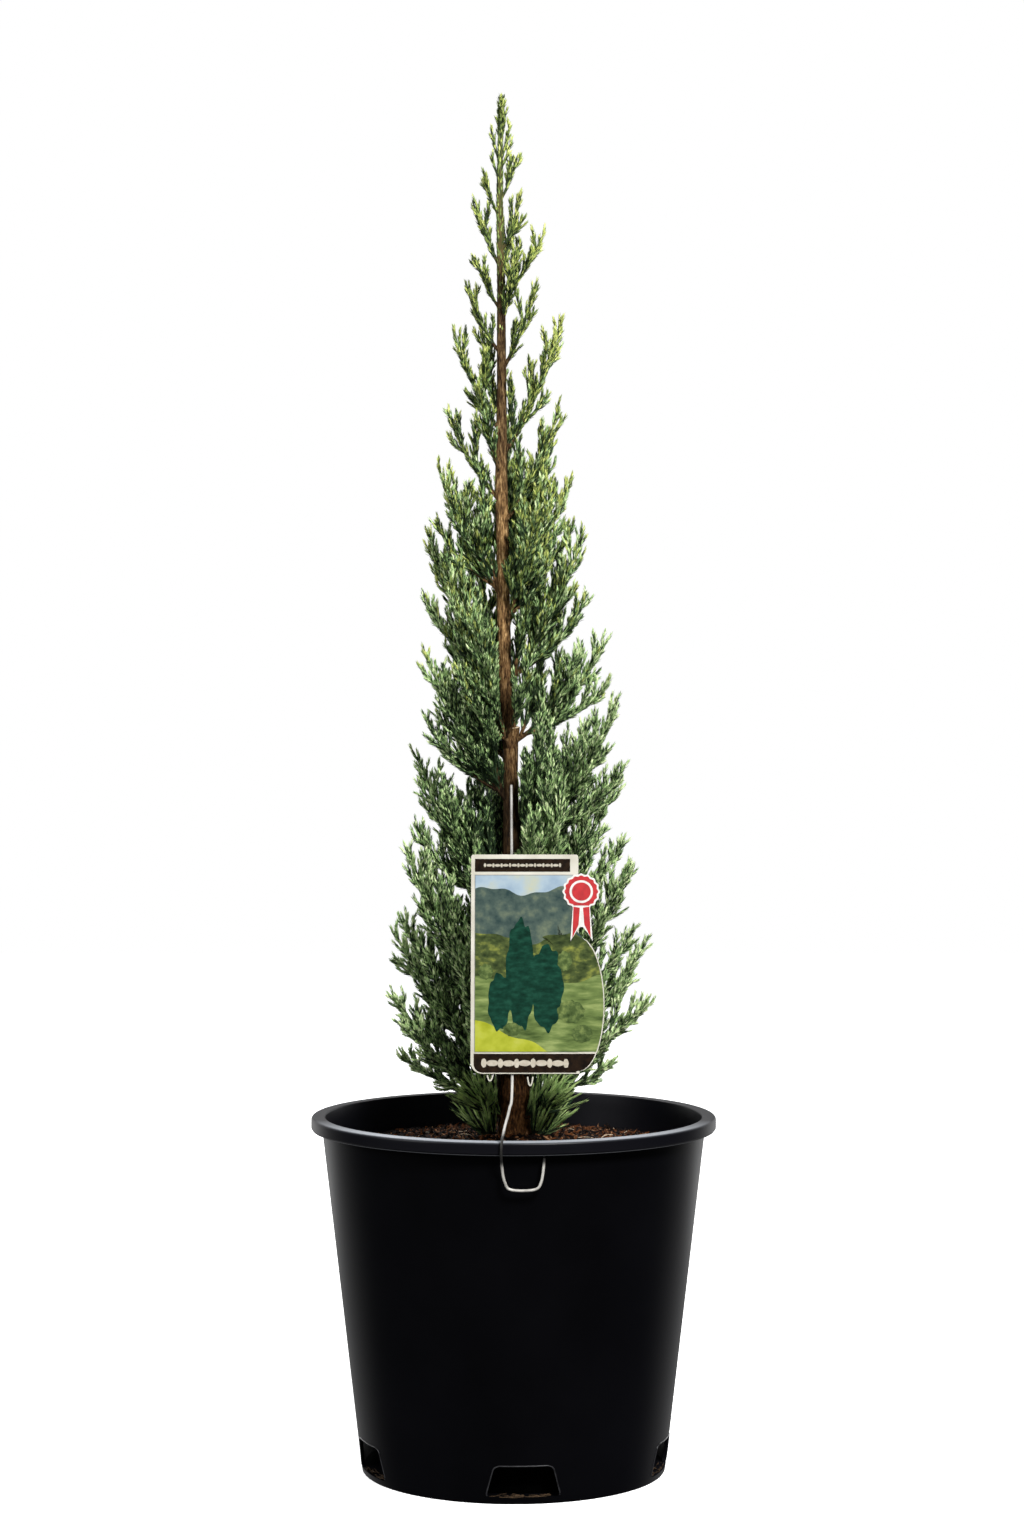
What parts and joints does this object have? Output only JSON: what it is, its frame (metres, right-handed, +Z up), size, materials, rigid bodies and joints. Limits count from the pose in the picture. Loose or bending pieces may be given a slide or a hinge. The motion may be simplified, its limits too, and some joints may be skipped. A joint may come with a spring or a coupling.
{
  "type": "potted cypress tree",
  "caption": "Young cone-shaped cypress with feathery plumes of foliage round a slender trunk, in a tapered nursery pot of bark mix, with a picture card on a bent wire.",
  "frame": {"origin": "centre of the pot's flat underside", "axes": "+Z up along the trunk, +X to the right as the picture card is read, and the card stands on the -Y side"},
  "size_m": [0.25, 0.2532, 0.8495],
  "materials": {
    "foliage": "soft scale foliage, yellow-green at the tips and blue-green inside",
    "bough_bark": "thin reddish-brown bark",
    "trunk_bark": "rough reddish-brown bark",
    "potting_mix": "loose bark chips",
    "pot_plastic": "satin black moulded plastic",
    "label_card": "satin plastic sheet with a plain landscape design",
    "label_sticker": "satin red vinyl",
    "label_wire": "cream plastic-coated steel wire"
  },
  "bodies": {
    "root": {"bough_left_07": "bough_bark", "bough_left_08": "bough_bark", "bough_left_09": "bough_bark", "bough_left_10": "bough_bark", "bough_left_11": "bough_bark", "bough_right_07": "bough_bark", "bough_right_08": "bough_bark", "bough_right_09": "bough_bark", "bough_right_10": "bough_bark", "bough_right_11": "bough_bark", "bough_right_12": "bough_bark", "foliage_back_01": "foliage", "foliage_back_02": "foliage", "foliage_back_03": "foliage", "foliage_back_04": "foliage", "foliage_back_05": "foliage", "foliage_back_06": "foliage", "foliage_front_01": "foliage", "foliage_front_02": "foliage", "foliage_front_03": "foliage", "foliage_front_04": "foliage", "foliage_front_05": "foliage", "foliage_front_06": "foliage", "foliage_leader": "foliage", "foliage_left_01": "foliage", "foliage_left_02": "foliage", "foliage_left_03": "foliage", "foliage_left_04": "foliage", "foliage_left_05": "foliage", "foliage_left_06": "foliage", "foliage_left_07": "foliage", "foliage_left_08": "foliage", "foliage_left_09": "foliage", "foliage_left_10": "foliage", "foliage_left_11": "foliage", "foliage_left_12": "foliage", "foliage_left_13": "foliage", "foliage_left_14": "foliage", "foliage_right_01": "foliage", "foliage_right_02": "foliage", "foliage_right_03": "foliage", "foliage_right_04": "foliage", "foliage_right_05": "foliage", "foliage_right_06": "foliage", "foliage_right_07": "foliage", "foliage_right_08": "foliage", "foliage_right_09": "foliage", "foliage_right_10": "foliage", "foliage_right_11": "foliage", "foliage_right_12": "foliage", "foliage_right_13": "foliage", "foliage_right_14": "foliage", "foliage_right_15": "foliage", "label_card": "label_card", "label_sticker": "label_sticker", "label_wire": "label_wire", "pot": "pot_plastic", "potting_mix": "potting_mix", "trunk": "trunk_bark"}
  },
  "joints": []
}
